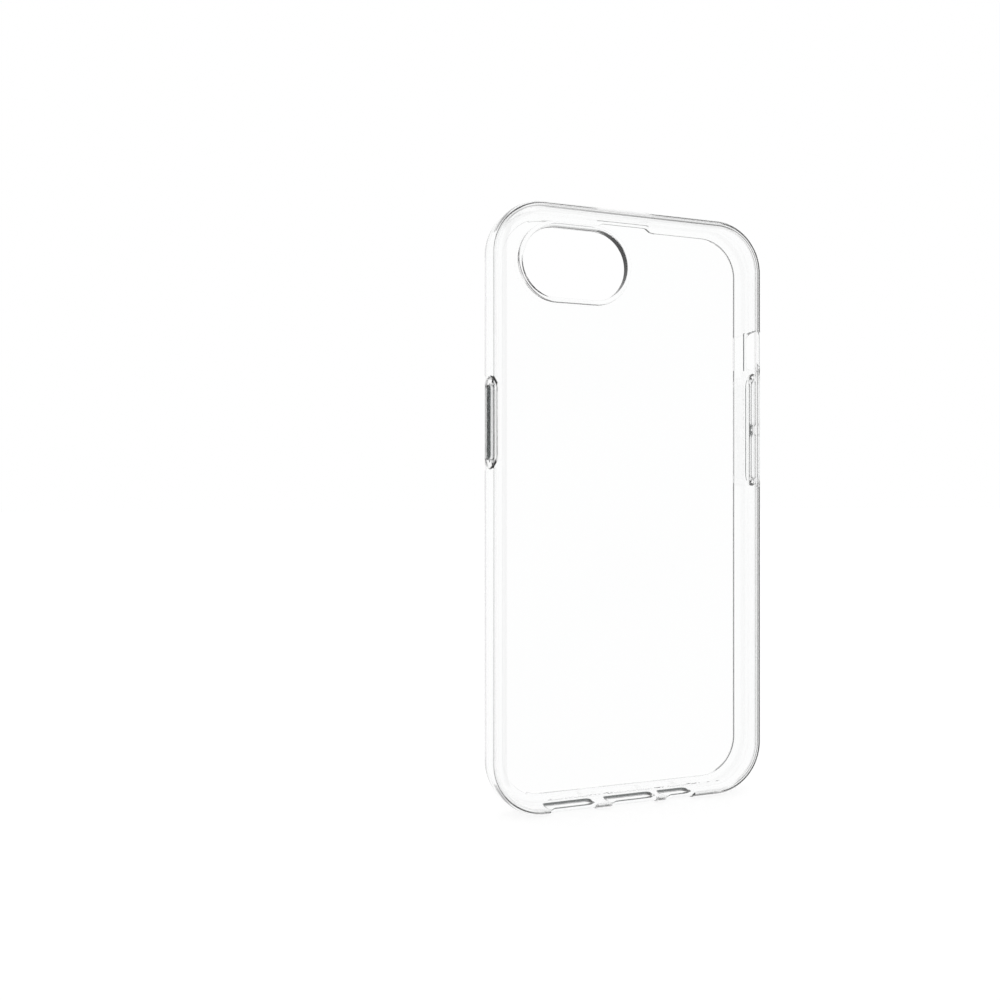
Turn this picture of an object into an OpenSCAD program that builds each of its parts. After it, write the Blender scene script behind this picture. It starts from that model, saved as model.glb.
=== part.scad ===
// Clear protective case for a slim phone.
// It stands upright on its bottom edge: X runs across the width, Z along the length,
// the back panel faces -Y and the open front faces +Y.
// Modules ending in _flat are drawn face down: x across, y along the length,
// z = 0 at the front lip and z = case_t at the back face. upright() stands them up.

/* [Phone] */
// Width of the pocket for the phone
pocket_w = 72.2; // [70:0.1:75]
// Length of the pocket for the phone
pocket_h = 147.1; // [145:0.1:150]
// Depth of the pocket for the phone
pocket_d = 7.9; // [7.5:0.1:8.5]
// Space between the phone's sides and the pocket's walls
phone_gap = 0.35; // [0.3:0.05:0.5]

/* [Shell] */
// Thickness of the side walls
wall_t = 1.4; // [1.2:0.1:1.8]
// Thickness of the back panel
back_t = 1.2; // [1.1:0.1:1.6]
// Thickness of the front lip
lip_t = 1.0; // [0.9:0.1:1.2]
// How far the front lip reaches over the phone along its long sides
lip_side_reach = 3.3; // [2.5:0.05:3.6]
// How far the front lip reaches over the phone at its two ends
lip_end_reach = 2.25; // [1.8:0.05:2.6]
// Corner radius of the opening inside the front lip
lip_corner_r = 10; // [9:0.1:11]
// Corner radius of the outline
corner_r = 13.4; // [11:0.1:15]
// Edge radius between the back face and the side walls
back_edge_r = 5.2; // [5:0.1:5.4]
// Edge radius between the side walls and the front lip
front_edge_r = 1.6; // [1.5:0.1:1.8]
// Edge radius of the pocket where its floor meets the side walls
pocket_back_r = 3.4; // [3:0.1:3.6]

/* [Camera opening] */
// Length of the camera opening across the width
camera_w = 27.2; // [26:0.1:27.4]
// Height of the camera opening
camera_h = 17.0; // [14:0.1:19]
// Distance of the camera opening's centre from the centre line
camera_x = 17.3; // [16.5:0.1:17.3]
// Distance of the camera opening's centre below the top edge
camera_drop = 15.9; // [15.5:0.1:18]
// Width of the raised rim round the camera opening
guard_w = 1.2; // [1:0.1:1.3]
// Height of the raised rim above the back face
guard_h = 1.0; // [0.6:0.1:1.4]

/* [Keys] */
// Height of the keys' centre line above the front lip
key_level = 4.5; // [4.4:0.1:4.6]
// Width of each key
key_w = 2.7; // [2.4:0.1:2.8]
// How far the keys stand out from the side walls
key_proud = 0.7; // [0.5:0.1:0.9]
// Length of the power key
power_len = 18.2; // [16:0.1:20]
// Height of the power key's centre above the middle of the case
power_z = 20.6; // [18:0.1:23]
// Length of each volume key
volume_len = 12; // [10:0.1:12.5]
// Height of the upper volume key's centre above the middle of the case
volume_up_z = 27.6; // [26:0.1:27.8]
// Distance between the centres of the volume keys
volume_pitch = 14.0; // [13.6:0.1:15]
// How far a key travels when it is pressed
key_travel = 0.3; // [0.2:0.05:0.3]
// Space between a key and the flexible web round it
key_gap = 0.15; // [0.1:0.05:0.3]
// Thickness of the flexible web round the keys
web_t = 0.4; // [0.3:0.1:0.5]
// Width of the web between a key and the side wall
web_w = 1.85; // [1.2:0.05:2]

/* [Side and end openings] */
// Length of the opening for the ring and silent switch
switch_len = 9.8; // [8:0.1:10]
// Width of the opening for the switch
switch_w = 7.4; // [4.4:0.1:7.4]
// Height of the switch opening's centre above the middle of the case
switch_z = 41.8; // [41.8:0.1:44]
// Length of the charging port opening
port_len = 12.8; // [12:0.1:13.4]
// Width of the openings in the bottom wall
port_w = 5.8; // [5:0.1:6]
// Length of the speaker opening
speaker_len = 12.4; // [10:0.1:12.8]
// Distance of the speaker opening's centre from the centre line
speaker_x = 16.6; // [16:0.1:16.8]
// Length of the microphone opening
mic_len = 8; // [7:0.1:9]
// Distance of the microphone opening's centre from the centre line
mic_x = 12.8; // [12.8:0.1:15]
// Length of the notch in the front lip for the earpiece
notch_len = 14; // [12:0.1:18]
// Depth of the notch in the front lip
notch_depth = 1.1; // [0.8:0.1:1.4]

/* [Hidden] */
$fn = 64;

case_w = pocket_w + 2 * wall_t;
case_h = pocket_h + 2 * wall_t;
case_t = lip_t + pocket_d + back_t;
pocket_front_r = front_edge_r - wall_t + 0.4;
pocket_corner_r = corner_r - wall_t;
// the opening inside the lip, and the rounding along its edge
mouth_w = pocket_w - 2 * lip_side_reach;
mouth_h = pocket_h - 2 * lip_end_reach;
lip_edge_r = lip_t / 2 - 0.1;
// distance from the middle of the case to the centres of the corner arcs
arc_x = case_w / 2 - corner_r;
arc_y = case_h / 2 - corner_r;

// the back panel is let into a rebate half its thickness deep in the frame's back edge
panel_inset = back_edge_r + 0.1;
rebate_w = 0.6;
rebate_t = back_t / 2;
panel_r = corner_r - panel_inset;

camera_y = case_h / 2 - camera_drop;
// the keys' rounded edge, and the pusher on their inner side, which meets the phone's side when
// the key has made its full travel
key_round = 0.6;
nub_w = 1.4;
nub_proud = phone_gap - key_travel;
// the web is flush with the wall's inner face, and the key's pad ends a little above that
web_low = -wall_t;
web_high = web_low + web_t;
pad_low = web_low + 0.1;
// the switch opening is a little nearer the front than the keys are
switch_level = key_level - 0.25;
switch_r = 1.4;
port_r = 1;
notch_r = 0.9;
notch_thin = 0.35;
cut = 0.01;
far = 20;

function key_len(s) = s < 0 ? power_len : volume_len;

// stands a face-down solid on its bottom edge, with the whole case centred on X and Y
module upright() {
    translate([0, (case_t + guard_h) / 2, case_h / 2])
    rotate([90, 0, 0])
    children();
}

// a rounded rectangle of true arcs, w by h, centred
module round_rect(w, h, r) {
    square([w - 2 * r, h], center = true);
    square([w, h - 2 * r], center = true);
    for (sx = [-1, 1], sy = [-1, 1]) {
        translate([sx * (w / 2 - r), sy * (h / 2 - r)]) circle(r);
    }
}

// a slot with round ends, len along y and w along x, centred
module pill(len, w) {
    square([w, len - w], center = true);
    for (s = [-1, 1]) {
        translate([0, s * (len - w) / 2]) circle(w / 2);
    }
}

// the wall's section: x is the distance from a corner's arc centre, y the height above the lip
module wall_section() {
    inner = corner_r - back_edge_r - 1;
    difference() {
        union() {
            translate([inner, 0])
                square([corner_r - front_edge_r - inner, case_t - back_edge_r]);
            translate([inner, front_edge_r])
                square([corner_r - inner, case_t - front_edge_r - back_edge_r]);
            translate([inner, case_t - back_edge_r - 1])
                square([1, back_edge_r + 1]);
            translate([corner_r - front_edge_r, front_edge_r]) circle(front_edge_r);
            translate([corner_r - back_edge_r, case_t - back_edge_r])
                intersection() {
                    circle(back_edge_r);
                    square(back_edge_r);
                }
        }
        pocket_section();
        // rebate for the back panel, and everything inside it
        translate([-far, case_t - back_t - 1])
            square([far + panel_r - rebate_w, back_t + 2]);
        translate([-far, case_t - rebate_t])
            square([far + panel_r, rebate_t + 1]);
        // the lip is added as a plate of its own
        translate([-far, -1])
            square([far + pocket_corner_r - pocket_front_r - 1, lip_t + 1 + cut]);
    }
}

// the rounded inner edge of the lip, x being the distance from the mouth's corner centre
module lip_edge_section() {
    translate([lip_corner_r, lip_edge_r]) square([lip_edge_r + 0.1, lip_t - 2 * lip_edge_r]);
    for (y = [lip_edge_r, lip_t - lip_edge_r]) {
        translate([lip_corner_r + lip_edge_r, y]) circle(lip_edge_r);
    }
    translate([lip_corner_r + lip_edge_r, 0]) square([0.2, lip_t]);
}

// the flat lip that holds the phone in, with the mouth inside it
module lip() {
    trim = 2 * (pocket_front_r + 0.5);
    linear_extrude(lip_t) difference() {
        round_rect(pocket_w - trim, pocket_h - trim, pocket_corner_r - trim / 2);
        round_rect(mouth_w + 2 * lip_edge_r, mouth_h + 2 * lip_edge_r, lip_corner_r + lip_edge_r);
    }
    ring(mouth_w / 2 - lip_corner_r, mouth_h / 2 - lip_corner_r) lip_edge_section();
}

// the pocket's half section, cut out of the wall
module pocket_section() {
    top = lip_t + pocket_d;
    translate([-far, lip_t]) square([far + pocket_corner_r - pocket_back_r, pocket_d]);
    translate([-far, lip_t])
        square([far + pocket_corner_r - pocket_front_r, pocket_d - pocket_back_r]);
    translate([-far, lip_t + pocket_front_r])
        square([far + pocket_corner_r, pocket_d - pocket_front_r - pocket_back_r]);
    translate([pocket_corner_r - pocket_front_r, lip_t + pocket_front_r])
        circle(pocket_front_r);
    translate([pocket_corner_r - pocket_back_r, top - pocket_back_r])
        circle(pocket_back_r);
}

// one straight run of a section, centred on the origin, facing +x
module run(len) {
    translate([0, len / 2, 0]) rotate([90, 0, 0]) linear_extrude(len) children();
}

// a section swept round a rounded rectangle whose corners are centred on (+-x, +-y)
module ring(x, y) {
    for (a = [0, 180]) {
        rotate([0, 0, a]) translate([x, 0, 0]) run(2 * y) children();
        rotate([0, 0, a + 90]) translate([y, 0, 0]) run(2 * x) children();
    }
    for (q = [[1, 1, 0], [-1, 1, 90], [-1, -1, 180], [1, -1, 270]]) {
        translate([q[0] * x, q[1] * y, 0]) rotate([0, 0, q[2]])
            rotate_extrude(angle = 90) children();
    }
}

// places its children on a side wall, s = 1 on the right and -1 on the left, with their
// z = 0 on the wall's outer face, z pointing outwards and y along the length
module on_side(s, at, level = key_level) {
    mirror([s < 0 ? 1 : 0, 0, 0]) translate([case_w / 2, at, level]) rotate([0, 90, 0])
        children();
}

// a straight-sided pill between two heights over a side wall's outer face
module side_pill(s, at, len, w, low, high) {
    on_side(s, at) translate([0, 0, low]) linear_extrude(high - low) pill(len, w);
}

// a slot with small round corners cut through the bottom wall, with a rounded mouth
module bottom_slot(at, len) {
    translate([at, -case_h / 2 + wall_t / 2, case_t / 2]) rotate([90, 0, 0])
        linear_extrude(4 * wall_t, center = true) round_rect(len, port_w, port_r);
}

module bumper_frame_flat() {
    volume_mid = volume_up_z - volume_pitch / 2;
    recess_w = key_w + 2 * web_w;
    difference() {
        union() {
            ring(arc_x, arc_y) wall_section();
            lip();
        }
        // openings that the key webs fill
        side_pill(-1, power_z, power_len + 2 * web_w, recess_w, -2 * wall_t, wall_t);
        side_pill(1, volume_mid, volume_len + volume_pitch + 2 * web_w, recess_w,
                  -2 * wall_t, wall_t);
        on_side(1, switch_z, switch_level) translate([0, 0, -wall_t - cut])
            linear_extrude(2 * wall_t) round_rect(switch_w, switch_len, switch_r);
        bottom_slot(0, port_len);
        bottom_slot(-speaker_x, speaker_len);
        bottom_slot(mic_x, mic_len);
        earpiece_notch();
    }
}

// the lip is both shorter and thinner over the phone's earpiece
module earpiece_notch() {
    edge_y = mouth_h / 2;
    translate([0, edge_y, 0]) linear_extrude(3 * lip_t, center = true)
        round_rect(notch_len, 2 * notch_depth, notch_r);
    translate([0, edge_y, 0]) linear_extrude(2 * notch_thin, center = true)
        round_rect(notch_len, 2 * (lip_end_reach - 0.3), notch_r);
}

module back_panel_flat() {
    difference() {
        union() {
            translate([0, 0, case_t - back_t]) linear_extrude(back_t)
                round_rect(case_w - 2 * (panel_inset + rebate_w),
                           case_h - 2 * (panel_inset + rebate_w), panel_r - rebate_w);
            translate([0, 0, case_t - rebate_t]) linear_extrude(rebate_t)
                round_rect(case_w - 2 * panel_inset, case_h - 2 * panel_inset, panel_r);
        }
        camera_cut();
    }
}

module camera_cut() {
    translate([-camera_x, camera_y, 0]) rotate([0, 0, 90])
        linear_extrude(2 * case_t) pill(camera_w, camera_h);
}

// the raised rim: a rounded ring on the back face round the camera opening
module camera_guard_flat() {
    half = (camera_w - camera_h) / 2;
    translate([-camera_x, camera_y, case_t]) {
        for (s = [-1, 1]) {
            translate([s * half, 0, 0]) rotate([0, 0, s * -90])
                rotate_extrude(angle = 180) translate([camera_h / 2, 0]) guard_section();
            mirror([0, s < 0 ? 1 : 0, 0]) translate([0, camera_h / 2, 0])
                rotate([90, 0, 90]) linear_extrude(2 * half, center = true) guard_section();
        }
    }
}

module guard_section() {
    r = 0.45;
    square([guard_w, guard_h - r]);
    translate([r, 0]) square([guard_w - 2 * r, guard_h]);
    translate([r, guard_h - r]) circle(r);
    translate([guard_w - r, guard_h - r]) circle(r);
}

// the flexible floor of a key recess, with a clear hole round each key
module web_flat(s, at, len, keys) {
    difference() {
        side_pill(s, at, len + 2 * web_w, key_w + 2 * web_w, web_low, web_high);
        for (k = keys) {
            side_pill(s, k, key_len(s) + 2 * key_gap, key_w + 2 * key_gap, -wall_t, 0);
        }
    }
}

// a key: a pad with rounded edges that stands proud of the wall, and a narrow pusher
// on its inner side that reaches the phone's own button at full travel
module key_flat(s, at, len) {
    on_side(s, at) translate([0, 0, pad_low]) round_pad(len, key_w, key_proud - pad_low);
    side_pill(s, at, len - 4, nub_w, -wall_t - nub_proud, pad_low + cut);
}

// a pill of height h with its upper edge rounded
module round_pad(len, w, h) {
    half = (len - w) / 2;
    rotate([90, 0, 0]) linear_extrude(2 * half, center = true) {
        pad_section(w, h);
        mirror([1, 0, 0]) pad_section(w, h);
    }
    for (s = [-1, 1]) {
        translate([0, s * half, 0]) rotate([0, 0, s > 0 ? 0 : 180])
            rotate_extrude(angle = 180) pad_section(w, h);
    }
}

module pad_section(w, h) {
    square([w / 2, h - key_round]);
    square([w / 2 - key_round, h]);
    translate([w / 2 - key_round, h - key_round])
        intersection() {
            circle(key_round);
            square(key_round);
        }
}

module bumper_frame() { color("ghostwhite", 0.5) upright() bumper_frame_flat(); }
module back_panel() { color("aliceblue", 0.4) upright() back_panel_flat(); }
module camera_guard() { color("azure", 0.6) upright() camera_guard_flat(); }
module power_key() { color("lavender") upright() key_flat(-1, power_z, power_len); }
module volume_up_key() { color("lavender") upright() key_flat(1, volume_up_z, volume_len); }
module volume_down_key() {
    color("lavender") upright() key_flat(1, volume_up_z - volume_pitch, volume_len);
}
module power_key_web() {
    color("gainsboro") upright() web_flat(-1, power_z, power_len, [power_z]);
}
module volume_key_web() {
    color("gainsboro") upright()
        web_flat(1, volume_up_z - volume_pitch / 2, volume_len + volume_pitch,
                 [volume_up_z, volume_up_z - volume_pitch]);
}

back_panel();
bumper_frame();
camera_guard();
power_key();
power_key_web();
volume_up_key();
volume_down_key();
volume_key_web();
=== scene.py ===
"""A clear moulded phone case, seen from behind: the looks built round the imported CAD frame.

Shapes are drawn face down in millimetres, as in the CAD source: x across, y along the length and
z from the front lip (0) to the back face. row_point() turns such a point into the row frame.
"""

import math

import bmesh
import bpy
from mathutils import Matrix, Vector
from mathutils.geometry import tessellate_polygon


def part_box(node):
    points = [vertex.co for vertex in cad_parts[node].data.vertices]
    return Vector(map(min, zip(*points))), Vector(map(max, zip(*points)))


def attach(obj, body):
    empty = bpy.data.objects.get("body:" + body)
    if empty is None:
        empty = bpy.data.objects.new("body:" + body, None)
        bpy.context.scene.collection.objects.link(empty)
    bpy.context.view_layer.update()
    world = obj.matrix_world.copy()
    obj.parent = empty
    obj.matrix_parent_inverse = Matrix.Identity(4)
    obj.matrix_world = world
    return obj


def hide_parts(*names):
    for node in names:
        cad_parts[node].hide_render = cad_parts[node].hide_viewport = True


MM = 0.001

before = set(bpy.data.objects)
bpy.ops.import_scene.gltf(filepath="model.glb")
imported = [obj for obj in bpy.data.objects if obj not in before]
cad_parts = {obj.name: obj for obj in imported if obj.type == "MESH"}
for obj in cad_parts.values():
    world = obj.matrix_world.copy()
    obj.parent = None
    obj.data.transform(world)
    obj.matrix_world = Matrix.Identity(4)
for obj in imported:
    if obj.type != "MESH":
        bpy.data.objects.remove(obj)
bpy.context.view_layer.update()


# ---------------------------------------------------------------- sizes, from the frame
def box_mm(node):
    """A CAD node's lowest and highest corners, in millimetres."""
    low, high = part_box(node)
    return low / MM, high / MM


frame_low, frame_high = box_mm("bumper_frame")
panel_low, panel_high = box_mm("back_panel")
guard_low, guard_high = box_mm("camera_guard")

CASE_W = frame_high.x - frame_low.x
CASE_H = frame_high.z - frame_low.z
CASE_T = frame_high.y - frame_low.y
FRONT_Y = frame_high.y
MIDDLE_Z = (frame_low.z + frame_high.z) / 2
BACK_T = panel_high.y - panel_low.y
GUARD_H = guard_high.y - guard_low.y

# the moulding's section, as in the CAD source
WALL_T = 1.4
LIP_T = 1.0
LIP_SIDE_REACH = 3.3
LIP_END_REACH = 2.25
CORNER_R = 13.4
BACK_EDGE_R = 5.2
FRONT_EDGE_R = 1.6
POCKET_R = CORNER_R - WALL_T
POCKET_BACK_R = 3.4
POCKET_FRONT_R = FRONT_EDGE_R - WALL_T + 0.4
LIP_EDGE_R = LIP_T / 2 - 0.1
POCKET_TOP = CASE_T - BACK_T
ARC_X = CASE_W / 2 - CORNER_R
ARC_Y = CASE_H / 2 - CORNER_R
# the mouth inside the lip has corner arcs of its own
MOUTH_R = 10.0
MOUTH_X = CASE_W / 2 - WALL_T - LIP_SIDE_REACH - MOUTH_R
MOUTH_Y = CASE_H / 2 - WALL_T - LIP_END_REACH - MOUTH_R

GUARD_W = 1.2
GUARD_FOOT = 0.15
GUARD_ROUND = 0.45
NOTCH_HALF = 7.0
NOTCH_DEPTH = 1.1
NOTCH_THIN = 0.35
NOTCH_BLEND = 2.4
# the outer part of the wall, which the notch leaves as it is
NOTCH_KEEPS = 1.0
RECESS_MARGIN = 1.85
# the rounded rims of the openings, on the wall's outer and inner faces
RIM_R = 0.22
INNER_RIM_R = 0.38
# the least room between an inner rim and the lip, and what is left of a pill's straight short sides
LIP_CLEARANCE = 0.02
PILL_FLAT = 1e-4
PORT_HALF_W = 2.9
PORT_R = 1.0
SWITCH_R = 1.4
SWITCH = {"s": 41.8, "z": 4.25, "a": 4.9, "b": 3.7}
# the bottom wall's openings: (middle, half length)
PORT, SPEAKER, MICROPHONE = (0, 6.4), (-16.6, 6.2), (12.8, 4.0)
# the parts of the wall's two faces that windows may use, as heights above the lip: those in the
# long sides from the first height, those in the ends from the second
OUTER_WINDOW = (0.3, 1.62, 8.6)
INNER_WINDOW = (1.02, 1.62, 8.4)
# how finely the section and the outline are cut up, and how far a window's patch goes past it
EDGE_STEPS = 10
WINDOW_STEPS = 36
LIP_STEPS = 8
CORNER_STEPS = 40
STATION_STEP = 0.4
COARSE_STEP = 1.5
WINDOW_MARGIN = 0.6
# how high an opening's painted shade, a near-black strip on its cut in place of the dark line the
# clear plastic shows there, reaches over its front edge. Each window says how much of the inner
# rim's rounding along its front is painted dark, from 0 to 1, where 1 takes in the inner half of the
# cut, and whether the outer rim along its back is painted dark
PAINTED_SHADE_BAND = 0.6

# the keys. KEY_MIDDLE is half the width of the one face that closes a pad's middle, and KEY_LOW
# where the pad ends, out from the wall's outer face. The pusher is longer than the CAD source's
KEY_EDGE_R = 0.6
KEY_CROWN = 0.05
KEY_MIDDLE = 0.12
KEY_LOW = -1.25
KEY_FOOT_R = 0.2
PUSHER_HALF_W = 0.8
PUSHER_H = 0.2
PUSHER_EDGE = 0.1
PUSHER_DRAFT = 0.02
# where a web's two faces are, out from the wall's outer face, and the gap round it and round each
# key in it. Both are finer than the CAD source's
WEB_OUT = (-1.2, -1.38)
SEAM = 0.012
# how many points each of a pill's four parts has
PILL_COUNTS = (60, 20, 60, 20)


def flat_box(node):
    """A CAD node's box in flat millimetres: (low x, y, z), (high x, y, z)."""
    low, high = box_mm(node)
    return (
        Vector((low.x, low.z - MIDDLE_Z, FRONT_Y - high.y)),
        Vector((high.x, high.z - MIDDLE_Z, FRONT_Y - low.y)),
    )


def row_point(x, y, z):
    """A flat point, in millimetres, as a point of the row frame in metres."""
    return Vector((x, FRONT_Y - z, y + MIDDLE_Z)) * MM


# ---------------------------------------------------------------- the wall's two faces
def outer_r(z):
    """How far the wall's outer face is from the corner arcs' centres at height z."""
    under = FRONT_EDGE_R - z
    if under > 0:
        return CORNER_R - FRONT_EDGE_R + math.sqrt(max(0, FRONT_EDGE_R**2 - under**2))
    over = z - (CASE_T - BACK_EDGE_R)
    if over > 0:
        return CORNER_R - BACK_EDGE_R + math.sqrt(max(0, BACK_EDGE_R**2 - over**2))
    return CORNER_R


def inner_r(z):
    """The same for the pocket's face of the wall."""
    under = LIP_T + POCKET_FRONT_R - z
    if under > 0:
        return POCKET_R - POCKET_FRONT_R + math.sqrt(max(0, POCKET_FRONT_R**2 - under**2))
    over = z - (POCKET_TOP - POCKET_BACK_R)
    if over > 0:
        return POCKET_R - POCKET_BACK_R + math.sqrt(max(0, POCKET_BACK_R**2 - over**2))
    return POCKET_R


def along(face, low, high, steps):
    """Heights from low to high that are evenly spaced along the face's own curve."""
    fine = [low + (high - low) * i / 2000 for i in range(2001)]
    travelled = [0.0]
    for a, b in zip(fine, fine[1:]):
        travelled.append(travelled[-1] + math.hypot(b - a, face(b) - face(a)))
    heights, at = [], 0
    for i in range(steps + 1):
        goal = travelled[-1] * i / steps
        while at < 1999 and travelled[at + 1] < goal:
            at += 1
        share = (goal - travelled[at]) / max(travelled[at + 1] - travelled[at], 1e-12)
        heights.append(fine[at] + (fine[at + 1] - fine[at]) * share)
    return heights


def quarter(steps):
    """Angles from 0 to a quarter turn."""
    return [math.radians(90 * i / steps) for i in range(steps + 1)]


def profile():
    """The moulding's section as points (r, z, w), from the back face's flat round the outside, over
    the lip and through the pocket to the panel's inner flat, and the two windows' index ranges.
    w is 0 where r counts from the wall's corner arcs and 1 where it counts from the mouth's."""
    low, middle, high = OUTER_WINDOW
    points = [(outer_r(z), z, 0) for z in along(outer_r, high, CASE_T, 16)[:0:-1]]
    outer = (len(points), len(points) + WINDOW_STEPS, len(points) + WINDOW_STEPS + EDGE_STEPS)
    points += [(outer_r(z), z, 0) for z in along(outer_r, middle, high, WINDOW_STEPS)[::-1]]
    points += [(outer_r(z), z, 0) for z in along(outer_r, low, middle, EDGE_STEPS)[-2::-1]]
    points += [(outer_r(z), z, 0) for z in along(outer_r, 0, low, 6)[-2::-1]]
    front, tip = CORNER_R - FRONT_EDGE_R, MOUTH_R + LIP_EDGE_R
    shares = [i / LIP_STEPS for i in range(1, LIP_STEPS)]
    points += [(front + (tip - front) * share, 0, share) for share in shares]
    for a in quarter(LIP_STEPS):
        points.append((tip - LIP_EDGE_R * math.sin(a), LIP_EDGE_R * (1 - math.cos(a)), 1))
    for a in quarter(LIP_STEPS):
        points.append((tip - LIP_EDGE_R * math.cos(a), LIP_T - LIP_EDGE_R * (1 - math.sin(a)), 1))
    inside = POCKET_R - POCKET_FRONT_R
    points += [(tip + (inside - tip) * i / 6, LIP_T, 1 - i / 6) for i in range(1, 6)]
    low, middle, high = INNER_WINDOW
    points += [(inner_r(z), z, 0) for z in along(inner_r, LIP_T, low, 2)[:-1]]
    inner = (len(points), len(points) + EDGE_STEPS, len(points) + EDGE_STEPS + WINDOW_STEPS)
    points += [(inner_r(z), z, 0) for z in along(inner_r, low, middle, EDGE_STEPS)[:-1]]
    points += [(inner_r(z), z, 0) for z in along(inner_r, middle, high, WINDOW_STEPS)]
    points += [(inner_r(z), z, 0) for z in along(inner_r, high, POCKET_TOP, 8)[1:]]
    return points, outer, inner


# ---------------------------------------------------------------- the outline
def side_point(side, s, r, z):
    """The flat point at s along a side, r out from the corner arcs' centres, and height z."""
    if side == "right":
        return (ARC_X + r, s, z)
    if side == "top":
        return (s, ARC_Y + r, z)
    if side == "left":
        return (-ARC_X - r, s, z)
    return (s, -ARC_Y - r, z)


def spaced(stops, coarse):
    """Places from the first stop to the last. stops holds (place, spacing after it or None)."""
    places = [stops[0][0]]
    for (a, step), (b, _) in zip(stops, stops[1:]):
        count = max(1, math.ceil(abs(b - a) / (step or coarse)))
        places += [a + (b - a) * i / count for i in range(1, count + 1)]
    return places


def side_stops(half, windows):
    """The stops of one side, from -half to half, with close spacing across each window."""
    stops = [(-half, None)]
    for w in sorted(windows, key=lambda w: w["from"]):
        stops += [(w["from"], STATION_STEP), (w["to"], None)]
    return spaced(stops + [(half, None)], COARSE_STEP)


def outline(windows):
    """Stations round the case: side or None, s, the wall's base x and y, the mouth's base x and y,
    and the outward normal's x and y."""
    stations = []
    ends = {"right": ARC_Y, "top": ARC_X, "left": ARC_Y, "bottom": ARC_X}
    corner = {"right": (1, 1, 0), "top": (-1, 1, 90), "left": (-1, -1, 180), "bottom": (1, -1, 270)}
    for side, half in ends.items():
        own = [w for w in windows if w["side"] == side]
        if side == "top":
            own = [{"from": -NOTCH_HALF - 1, "to": NOTCH_HALF + 1}]
        places = side_stops(half, own)
        if side in ("top", "left"):
            places = places[::-1]
        for s in places:
            x, y, _ = side_point(side, s, 0, 0)
            nx, ny = {"right": (1, 0), "top": (0, 1), "left": (-1, 0), "bottom": (0, -1)}[side]
            mouth = (x / ARC_X * MOUTH_X, y / ARC_Y * MOUTH_Y)
            stations.append((side, s, x, y, *mouth, nx, ny))
        sx, sy, start = corner[side]
        for i in range(1, CORNER_STEPS):
            a = math.radians(start + 90 * i / CORNER_STEPS)
            bases = (sx * ARC_X, sy * ARC_Y, sx * MOUTH_X, sy * MOUTH_Y)
            stations.append((None, 0, *bases, math.cos(a), math.sin(a)))
    return stations


# ---------------------------------------------------------------- mesh building
def nowhere(point):
    """Accepts no point, so that no face gets the near-black painted shade material."""
    return False


class Body:
    """Collects flat points and the faces between them, and makes one closed mesh of them."""

    def __init__(self):
        self.points, self.faces, self.painted_shade_faces = [], [], []

    def loop(self, points):
        start = len(self.points)
        self.points += points
        return list(range(start, len(self.points)))

    def bridge(self, a, b, is_painted_shade=nowhere):
        """Joins two loops. Faces whose point on b the given test accepts get the second material,
        the near-black painted shade.
        """
        for i in range(len(a)):
            j = (i + 1) % len(a)
            if is_painted_shade(self.points[b[i]]):
                self.painted_shade_faces.append(len(self.faces))
            self.faces.append((a[i], a[j], b[j], b[i]))

    def fill(self, outer, holes=()):
        """Closes a flat loop, leaving out the holes."""
        loops = [outer, *holes]
        flat = [[Vector(self.points[i]) for i in loop] for loop in loops]
        every = [i for loop in loops for i in loop]
        for a, b, c in tessellate_polygon(flat):
            self.faces.append((every[a], every[b], every[c]))

    def make(self, name, material, painted_shade_material=None):
        mesh = bpy.data.meshes.new(name)
        mesh.from_pydata([row_point(*p) for p in self.points], [], self.faces)
        # faces of painted shade take the second, near-black material
        for i in self.painted_shade_faces:
            mesh.polygons[i].material_index = 1
        work = bmesh.new()
        work.from_mesh(mesh)
        loose = [v for v in work.verts if not v.link_faces]
        bmesh.ops.delete(work, geom=loose, context="VERTS")
        bmesh.ops.remove_doubles(work, verts=work.verts, dist=1e-7)
        bmesh.ops.recalc_face_normals(work, faces=work.faces)
        for f in work.faces:
            f.smooth = True
        work.to_mesh(mesh)
        work.free()
        mesh.materials.append(material)
        if painted_shade_material:
            mesh.materials.append(painted_shade_material)
        piece = bpy.data.objects.new(name, mesh)
        bpy.context.scene.collection.objects.link(piece)
        normals = piece.modifiers.new("face_weighted", "WEIGHTED_NORMAL")
        normals.mode = "FACE_AREA_WITH_ANGLE"
        normals.weight = 80
        return piece


def rounded_loop(a, b, r, counts):
    """Points (s, z) round a rectangle 2a by 2b with corner radius r. counts holds the points on
    each of its four parts, from the middle of one corner's arc to the middle of the next's."""
    points = []
    for part in range(4):
        long, wide = (a, b) if part % 2 == 0 else (b, a)
        straight, arc = 2 * (long - r), r * math.pi / 4
        total = straight + 2 * arc
        for i in range(counts[part]):
            at = total * i / counts[part]
            if at < arc:
                turn = math.radians(225) + at / r
                p = (-long + r + r * math.cos(turn), -wide + r + r * math.sin(turn))
            elif at < arc + straight:
                p = (-long + r + at - arc, -wide)
            else:
                turn = math.radians(270) + (at - arc - straight) / r
                p = (long - r + r * math.cos(turn), -wide + r + r * math.sin(turn))
            for _ in range(part):
                p = (-p[1], p[0])
            points.append(p)
    return points


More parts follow.
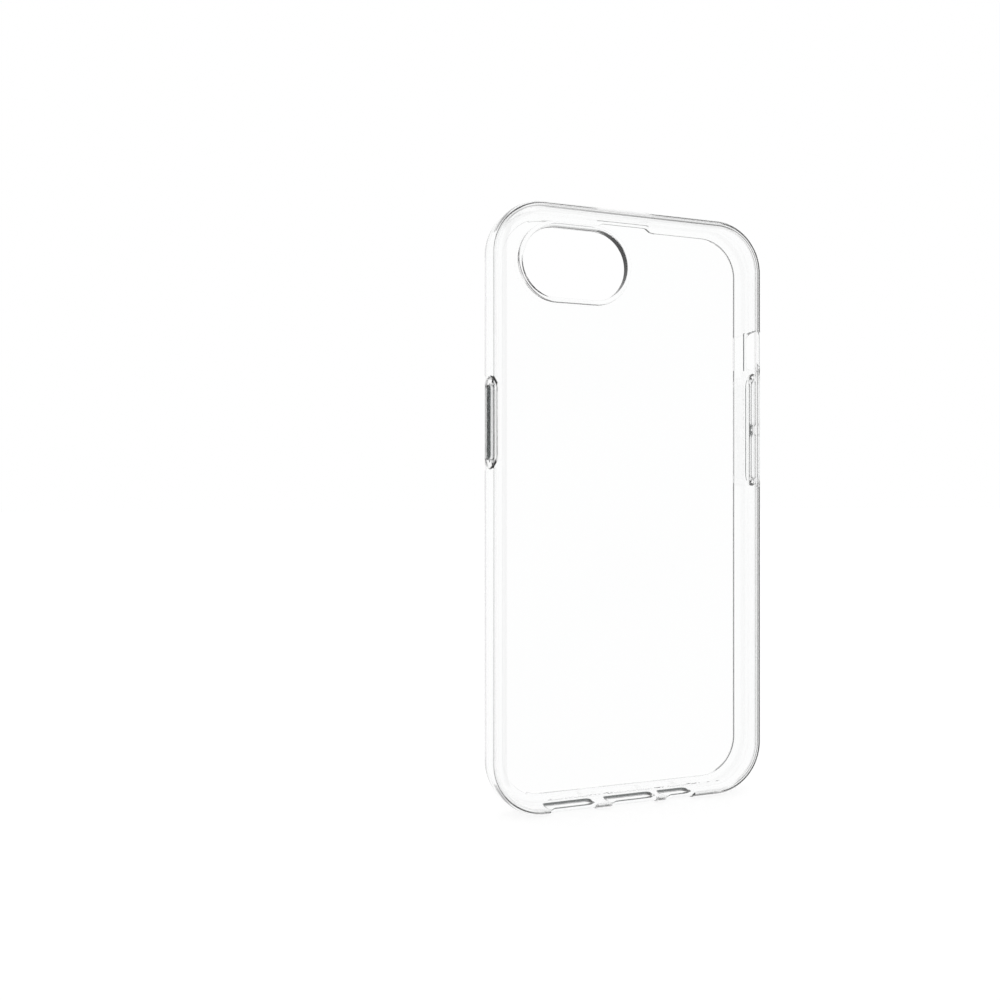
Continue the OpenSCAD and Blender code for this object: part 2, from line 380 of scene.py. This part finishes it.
def window_rings(body, side, window, grid, ks, js, face, inward):
    """Fills the patch round an opening in one face of the wall, and returns the last ring of its
    rounded rim. grid is the sweep's, ks and js the patch's index ranges, and inward is 1 for the
    wall's outer face and -1 for its inner one."""
    (k0, k1), (j0, j1) = ks, js
    n_stations = len(grid)
    step = 1 if k1 > k0 else -1
    along_k = [k % n_stations for k in range(k0, k1 + step, step)]
    edge = (
        [grid[k][j0] for k in along_k[:-1]]
        + [grid[along_k[-1]][j] for j in range(j0, j1, 1 if j1 > j0 else -1)]
        + [grid[k][j1] for k in along_k[:0:-1]]
        + [grid[along_k[0]][j] for j in range(j1, j0, -1 if j1 > j0 else 1)]
    )
    nk, nj = abs(k1 - k0), abs(j1 - j0)
    counts = (nk, nj, nk, nj)
    horizontal = side in ("right", "left")
    edge_sz = [(body.points[i][1 if horizontal else 0], body.points[i][2]) for i in edge]

    rim_r = RIM_R if inward > 0 else INNER_RIM_R

    def ring(grow):
        loop = rounded_loop(window["a"] + grow, window["b"] + grow, window["r"] + grow, counts)
        lowest = LIP_T + LIP_CLEARANCE + rim_r - grow if inward < 0 else 0
        return [(window["s"] + s, max(window["z"] + z, lowest)) for s, z in loop]

    def surface(points, depth):
        return [side_point(side, s, face(z) - inward * depth, z) for s, z in points]

    # how much of each rim is painted near-black as painted shade: along the front inside, along the
    # back outside
    in_front, behind = window["dark"]

    def is_painted_shade(point):
        """Whether the rim is painted dark here, as painted shade: behind the opening outside, in
        front of it inside.
        """
        if inward > 0:
            return behind and point[2] > window["z"] + window["b"] - PAINTED_SHADE_BAND / 3
        return point[2] < window["z"] - window["b"] + PAINTED_SHADE_BAND

    rim, last = ring(rim_r), edge
    for share in (0.3, 0.55, 0.75, 0.9, 1.0):
        mixed = [
            (e[0] + (p[0] - e[0]) * share, e[1] + (p[1] - e[1]) * share)
            for e, p in zip(edge_sz, rim)
        ]
        new = body.loop(surface(mixed, 0))
        body.bridge(last, new)
        last = new
    for i, turn in enumerate(quarter(5)[1:], 1):
        shape = ring(rim_r * (1 - math.sin(turn)))
        new = body.loop(surface(shape, rim_r * (1 - math.cos(turn))))
        body.bridge(last, new, is_painted_shade if inward > 0 or i > 5 * (1 - in_front) else nowhere)
        last = new
    return last


def pill_loop(x, y, half_len, half_w, z, count=40):
    """A flat pill that lies along x, as points at height z."""
    points = rounded_loop(half_len, half_w, half_w - PILL_FLAT, (count, count, count, count))
    return [(x + s, y + t, z) for s, t in points]


def notch_share(side, s):
    """1 in the earpiece notch, 0 away from it, with a smooth turn at its two ends."""
    if side != "top":
        return 0.0
    t = min(1.0, max(0.0, (NOTCH_HALF - abs(s)) / NOTCH_BLEND + 0.5))
    return t * t * (3 - 2 * t)


def notched(r, z, w, share):
    """A section point where the lip is cut back and thinned for the earpiece."""
    if z > LIP_T + 1e-6 or r > CORNER_R - NOTCH_KEEPS:
        return r, z, w
    thin = NOTCH_THIN * max(0.0, 1 - z / LIP_T) * min(1.0, w * 3)
    return r + share * NOTCH_DEPTH * w, z + share * thin, w


def moulded_shell(windows, material, painted_shade_material):
    """The whole clear moulding: back, walls, lip and camera rim, with every opening."""
    body = Body()
    section, outer, inner = profile()
    stations = outline(windows)
    grid = []
    for side, _, x, y, mx, my, nx, ny in stations:
        share = notch_share(side, mx)
        points = [notched(*p, share) if share else p for p in section]
        grid.append(
            body.loop(
                [(x + (mx - x) * w + r * nx, y + (my - y) * w + r * ny, z) for r, z, w in points]
            )
        )
    holes = []
    for w in windows:
        places = [k for k, st in enumerate(stations) if st[0] == w["side"]]
        k_from = next(k for k in places if abs(stations[k][1] - w["from"]) < 1e-6)
        k_to = next(k for k in places if abs(stations[k][1] - w["to"]) < 1e-6)
        in_end = w["side"] == "bottom"
        rows_out = (outer[1 if in_end else 2], outer[0])
        rows_in = (inner[1 if in_end else 0], inner[2])
        holes.append((min(k_from, k_to), max(k_from, k_to), rows_out, rows_in))
        # both rings start at the same corner: low s and low z
        out = window_rings(body, w["side"], w, grid, (k_from, k_to), rows_out, outer_r, 1)
        into = window_rings(body, w["side"], w, grid, (k_from, k_to), rows_in, inner_r, -1)
        middle = [
            tuple((p + q) / 2 for p, q in zip(body.points[i], body.points[j]))
            for i, j in zip(out, into)
        ]
        between = body.loop(middle)
        body.bridge(out, between)
        # the cut's inner half along the front is painted near-black up to this height: painted shade
        painted_shade_top = w["z"] - w["b"] + PAINTED_SHADE_BAND if w["dark"][0] == 1 else -1
        body.bridge(between, into, lambda point, z=painted_shade_top: point[2] < z)
    for k in range(len(grid)):
        after = (k + 1) % len(grid)
        for j in range(len(section) - 1):
            if any(
                a <= k < b and (rows_out[1] <= j < rows_out[0] or rows_in[0] <= j < rows_in[1])
                for a, b, rows_out, rows_in in holes
            ):
                continue
            body.faces.append((grid[k][j], grid[after][j], grid[after][j + 1], grid[k][j + 1]))
    camera_rim(body, [g[0] for g in grid], [g[-1] for g in grid])
    return body.make("clear_moulding", material, painted_shade_material)


def camera_rim(body, back_edge, inner_edge):
    """The raised rim round the camera opening, and the two flats of the back panel round it."""
    low, high = flat_box("camera_guard")
    x, y = (low.x + high.x) / 2, (low.y + high.y) / 2
    half_len, half_w = (high.x - low.x) / 2 - GUARD_W, (high.y - low.y) / 2 - GUARD_W
    top, r, foot = CASE_T + GUARD_H, GUARD_ROUND, GUARD_FOOT
    rings = []
    for a in quarter(4):
        rings.append((GUARD_W + foot * (1 - math.sin(a)), CASE_T + foot * (1 - math.cos(a))))
    for a in quarter(8):
        rings.append((GUARD_W - r * (1 - math.cos(a)), top - r * (1 - math.sin(a))))
    for a in quarter(8):
        rings.append((r * (1 - math.sin(a)), top - r * (1 - math.cos(a))))
    for a in quarter(5):
        rings.append((RIM_R * (1 - math.cos(a)), POCKET_TOP + RIM_R * (1 - math.sin(a))))
    loops = [body.loop(pill_loop(x, y, half_len + g, half_w + g, z)) for g, z in rings]
    for a, b in zip(loops, loops[1:]):
        body.bridge(a, b)
    body.fill(back_edge, [loops[0]])
    body.fill(inner_edge, [loops[-1]])


# ---------------------------------------------------------------- keys and their webs
def key_frame(node):
    """Where a key is: its side, its middle along the side, its level and its half sizes."""
    low, high = flat_box(node)
    side = "right" if high.x > 0 else "left"
    proud = max(high.x, -low.x) - CASE_W / 2
    return {
        "side": side,
        "s": (low.y + high.y) / 2,
        "z": (low.z + high.z) / 2,
        "a": (high.y - low.y) / 2,
        "b": (high.z - low.z) / 2,
        "proud": proud,
    }


def side_pill(key, grow, out):
    """A pill round a key, grown by grow, as points at out millimetres over the wall's face."""
    a, b = key["a"] + grow, key["b"] + grow
    loop = rounded_loop(a, b, b - PILL_FLAT, PILL_COUNTS)
    return [side_point(key["side"], key["s"] + s, CORNER_R + out, key["z"] + z) for s, z in loop]


def press_key(node, material, painted_shade_material):
    """One key: a crowned pad with a rounded edge, and the pusher on its inner side."""
    key = key_frame(node)
    body = Body()
    top, low = key["proud"], KEY_LOW
    # each ring is (grown by, out); the pad's middle is closed by its first ring
    rings = [(KEY_MIDDLE - key["b"], top)]
    for share in (0.75, 0.5, 0.25):
        flat = (key["b"] - KEY_EDGE_R - KEY_MIDDLE) * share
        rings.append((-KEY_EDGE_R - flat, top - KEY_CROWN * (1 - share) ** 2))
    edge_from = len(rings)
    for a in quarter(8):
        drop = KEY_CROWN + KEY_EDGE_R * (1 - math.cos(a))
        rings.append((-KEY_EDGE_R * (1 - math.sin(a)), top - drop))
    edge_to = len(rings) - 1
    rings += [(0, (top + low) / 2), (0, low + KEY_FOOT_R)]
    for a in quarter(4)[1:]:
        rings.append((-KEY_FOOT_R * (1 - math.cos(a)), low + KEY_FOOT_R * (1 - math.sin(a))))
    pusher = key["b"] - PUSHER_HALF_W
    rings += [(-pusher * 0.5, low), (-pusher, low)]
    rings.append((-pusher - PUSHER_DRAFT, low - (PUSHER_H - PUSHER_EDGE)))
    rings.append((-pusher - PUSHER_EDGE, low - PUSHER_H))
    loops = [body.loop(side_pill(key, g, out)) for g, out in rings]

    def is_painted_shade(point):
        """Whether the pad's rounding is painted dark here, as painted shade, which it is along the
        back.
        """
        return point[2] > key["z"] + key["b"] - KEY_EDGE_R

    for i, (a, b) in enumerate(zip(loops, loops[1:])):
        body.bridge(a, b, is_painted_shade if edge_from <= i < edge_to else nowhere)
    body.faces += [tuple(loops[0]), tuple(loops[-1])]
    piece = body.make(node + "_pad", material, painted_shade_material)
    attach(piece, node)
    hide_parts(node)


def flat_web(name, window, keys, cad_node, material):
    """The thin flexible floor of a key recess, with a close hole round each key."""
    body = Body()

    def outlines(out):
        return [
            body.loop(side_pill(window, -SEAM, out)),
            *(body.loop(side_pill(key, SEAM, out)) for key in keys),
        ]

    levels = [outlines(out) for out in WEB_OUT]
    for upper, lower in zip(*levels):
        body.bridge(upper, lower)
    for edge, *holes in levels:
        body.fill(edge, holes)
    piece = body.make(name, material)
    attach(piece, "case")
    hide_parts(cad_node)


# ---------------------------------------------------------------- materials
def clear_plastic(name, tints, haze):
    """Clear moulded plastic: glass-like, with a tint and a haze that drift a little from place to
    place, and the moulding's faint waviness. tints and haze are (low, high)."""
    material = bpy.data.materials.new(name)
    material.use_nodes = True
    nodes, links = material.node_tree.nodes, material.node_tree.links
    shader = nodes["Principled BSDF"]
    shader.inputs["Transmission Weight"].default_value = 1
    shader.inputs["IOR"].default_value = 1.49
    place = nodes.new("ShaderNodeTexCoord")

    def noise(scale, detail):
        node = nodes.new("ShaderNodeTexNoise")
        node.inputs["Scale"].default_value = scale
        node.inputs["Detail"].default_value = detail
        links.new(place.outputs["Object"], node.inputs["Vector"])
        return node.outputs["Fac"]

    tint = nodes.new("ShaderNodeValToRGB")
    for stop, value, share in zip(tint.color_ramp.elements, tints, (0.3, 0.7)):
        stop.position = share
        stop.color = (value - 0.002, value, value, 1)
    links.new(noise(25, 3), tint.inputs["Fac"])
    links.new(tint.outputs["Color"], shader.inputs["Base Color"])
    blur = nodes.new("ShaderNodeMapRange")
    blur.inputs["From Min"].default_value = 0.45
    blur.inputs["From Max"].default_value = 0.75
    blur.inputs["To Min"].default_value, blur.inputs["To Max"].default_value = haze
    links.new(noise(90, 4), blur.inputs["Value"])
    links.new(blur.outputs["Result"], shader.inputs["Roughness"])
    relief = nodes.new("ShaderNodeBump")
    relief.inputs["Strength"].default_value = 0.02
    relief.inputs["Distance"].default_value = 0.0002
    links.new(noise(60, 2), relief.inputs["Height"])
    links.new(relief.outputs["Normal"], shader.inputs["Normal"])
    return material


# ---------------------------------------------------------------- stage
# the studio's darker bands: (from, to, light). ROUND_BANDS stand upright, in degrees from +Y towards
# +X, and show only within the heights of UPRIGHT_ENDS. HEIGHT_BANDS go all round, in degrees above
# the horizon, as UPRIGHT_ENDS is
ROUND_BANDS = (
    (-146, -121, 0.08),
    (-77, -62, 0.75),
    (60, 74, 0.3),
    (98, 118, 0.1),
)
HEIGHT_BANDS = ((-76, -69, 0.75), (-57, -53, 0.85), (48, 62, 0.55))
UPRIGHT_ENDS = ((-41, 80, 0),)
BAND_EDGE = 2


def band_ramp(nodes, bands, low, high, place):
    """A colour ramp that is white but for the bands. place turns degrees into low to high."""
    ramp = nodes.new("ShaderNodeValToRGB")
    stops = ramp.color_ramp
    stops.elements[0].color = stops.elements[1].color = (1, 1, 1, 1)
    for start, end, light in bands:
        for degrees, value in (
            (start - BAND_EDGE, 1), (start, light), (end, light), (end + BAND_EDGE, 1),
        ):
            stop = stops.elements.new((place(degrees) - low) / (high - low))
            stop.color = (value, value, value, 1)
    return ramp


def sine(degrees):
    return math.sin(math.radians(degrees))


def studio():
    """White all round, with darker bands that only light bent or mirrored by the plastic meets."""
    world = bpy.data.worlds.new("studio")
    bpy.context.scene.world = world
    world.use_nodes = True
    nodes, links = world.node_tree.nodes, world.node_tree.links

    def combine(operation, a, b):
        node = nodes.new("ShaderNodeMath")
        node.operation = operation
        links.new(a, node.inputs[0])
        links.new(b, node.inputs[1])
        return node.outputs[0]

    def looked_up(value, bands, low, high, place):
        share = nodes.new("ShaderNodeMapRange")
        share.inputs["From Min"].default_value = low
        share.inputs["From Max"].default_value = high
        links.new(value, share.inputs["Value"])
        ramp = band_ramp(nodes, bands, low, high, place)
        links.new(share.outputs["Result"], ramp.inputs["Fac"])
        return ramp.outputs["Color"]

    direction = nodes.new("ShaderNodeTexCoord")
    split = nodes.new("ShaderNodeSeparateXYZ")
    links.new(direction.outputs["Generated"], split.inputs["Vector"])
    turn = combine("ARCTAN2", split.outputs["X"], split.outputs["Y"])
    round_light = looked_up(turn, ROUND_BANDS, -math.pi, math.pi, math.radians)
    height_light = looked_up(split.outputs["Z"], HEIGHT_BANDS, -1, 1, sine)
    beyond = looked_up(split.outputs["Z"], UPRIGHT_ENDS, -1, 1, sine)
    light = combine("MULTIPLY", combine("MAXIMUM", round_light, beyond), height_light)
    path = nodes.new("ShaderNodeLightPath")
    direct = combine("MAXIMUM", path.outputs["Is Camera Ray"], path.outputs["Is Diffuse Ray"])
    background = nodes["Background"]
    links.new(combine("MAXIMUM", light, direct), background.inputs["Color"])
    background.inputs["Strength"].default_value = 1.0


def pale_floor():
    """A pale floor. The plastic shows the studio instead of it, so that no horizon crosses it."""
    bpy.ops.mesh.primitive_plane_add(size=12, location=(0, 0, 0))
    floor = bpy.context.object
    floor.name = "floor"
    floor.visible_transmission = False
    floor.visible_glossy = False
    material = bpy.data.materials.new("pale_floor")
    material.use_nodes = True
    shader = material.node_tree.nodes["Principled BSDF"]
    shader.inputs["Base Color"].default_value = (0.2, 0.2, 0.2, 1)
    shader.inputs["Roughness"].default_value = 1
    shader.inputs["Specular IOR Level"].default_value = 0
    shader.inputs["Emission Color"].default_value = (1, 1, 1, 1)
    shader.inputs["Emission Strength"].default_value = 0.85
    floor.data.materials.append(material)


# the camera: its turn in degrees, its place from the case's middle in millimetres, and its lens
CAMERA_TURN = 18.58
EYE_RIGHT, EYE_FORWARD, EYE_UP = -31.38, -232.12, 1.92
LENS = 32.27


def add_camera():
    """Level, about at the middle of the case's height, looking past its back from the left."""
    turn = math.radians(CAMERA_TURN)
    right = Vector((math.cos(turn), -math.sin(turn), 0))
    forward = Vector((math.sin(turn), math.cos(turn), 0))
    middle = Vector((0, FRONT_Y, MIDDLE_Z))
    eye = middle + EYE_RIGHT * right + EYE_FORWARD * forward + Vector((0, 0, EYE_UP))
    data = bpy.data.cameras.new("camera")
    data.sensor_width = 36
    data.lens = LENS
    data.clip_start, data.clip_end = 0.01, 50
    camera = bpy.data.objects.new("camera", data)
    camera.location = eye * MM
    camera.rotation_mode = "QUATERNION"
    camera.rotation_quaternion = (-forward).to_track_quat("Z", "Y")
    bpy.context.scene.collection.objects.link(camera)
    bpy.context.scene.camera = camera


# ---------------------------------------------------------------- the object
def side_window(side, s, z, a, b, r, dark):
    return {
        "side": side, "s": s, "z": z, "a": a, "b": b, "r": r, "dark": dark,
        "from": s - a - WINDOW_MARGIN, "to": s + a + WINDOW_MARGIN,
    }


power = key_frame("power_key")
up, down = key_frame("volume_up_key"), key_frame("volume_down_key")
recess_b = power["b"] + RECESS_MARGIN
recess = {"z": power["z"], "b": recess_b, "r": recess_b - PILL_FLAT, "dark": (0.4, False)}
power_window = side_window("left", s=power["s"], a=power["a"] + RECESS_MARGIN, **recess)
volume_window = side_window(
    "right", s=(up["s"] + down["s"]) / 2,
    a=(up["s"] - down["s"]) / 2 + up["a"] + RECESS_MARGIN, **recess,
)
windows = [
    power_window,
    volume_window,
    side_window("right", **SWITCH, r=SWITCH_R, dark=(1, False)),
]
for middle_s, half in (PORT, SPEAKER, MICROPHONE):
    windows.append(
        side_window("bottom", middle_s, CASE_T / 2, half, PORT_HALF_W, PORT_R, (1, True))
    )

bpy.context.scene.view_settings.view_transform = "Standard"
studio()
pale_floor()
add_camera()

soft_clear = clear_plastic("clear_moulded_plastic", (0.99, 0.996), (0.0, 0.02))
key_clear = clear_plastic("clear_key_plastic", (0.96, 0.98), (0.02, 0.05))
# near-black plastic laid on the openings' cut edges and the keys' back roundings: painted shade,
# standing in for the dark lines that clear plastic shows there
painted_shade_clear = clear_plastic("painted_shade_edge_plastic", (0.008, 0.016), (0.02, 0.06))

shell = moulded_shell(windows, soft_clear, painted_shade_clear)
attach(shell, "case")
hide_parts("back_panel", "bumper_frame", "camera_guard")

for key_node in ("power_key", "volume_up_key", "volume_down_key"):
    press_key(key_node, key_clear, painted_shade_clear)
flat_web("power_web", power_window, (power,), "power_key_web", soft_clear)
flat_web("volume_web", volume_window, (up, down), "volume_key_web", soft_clear)
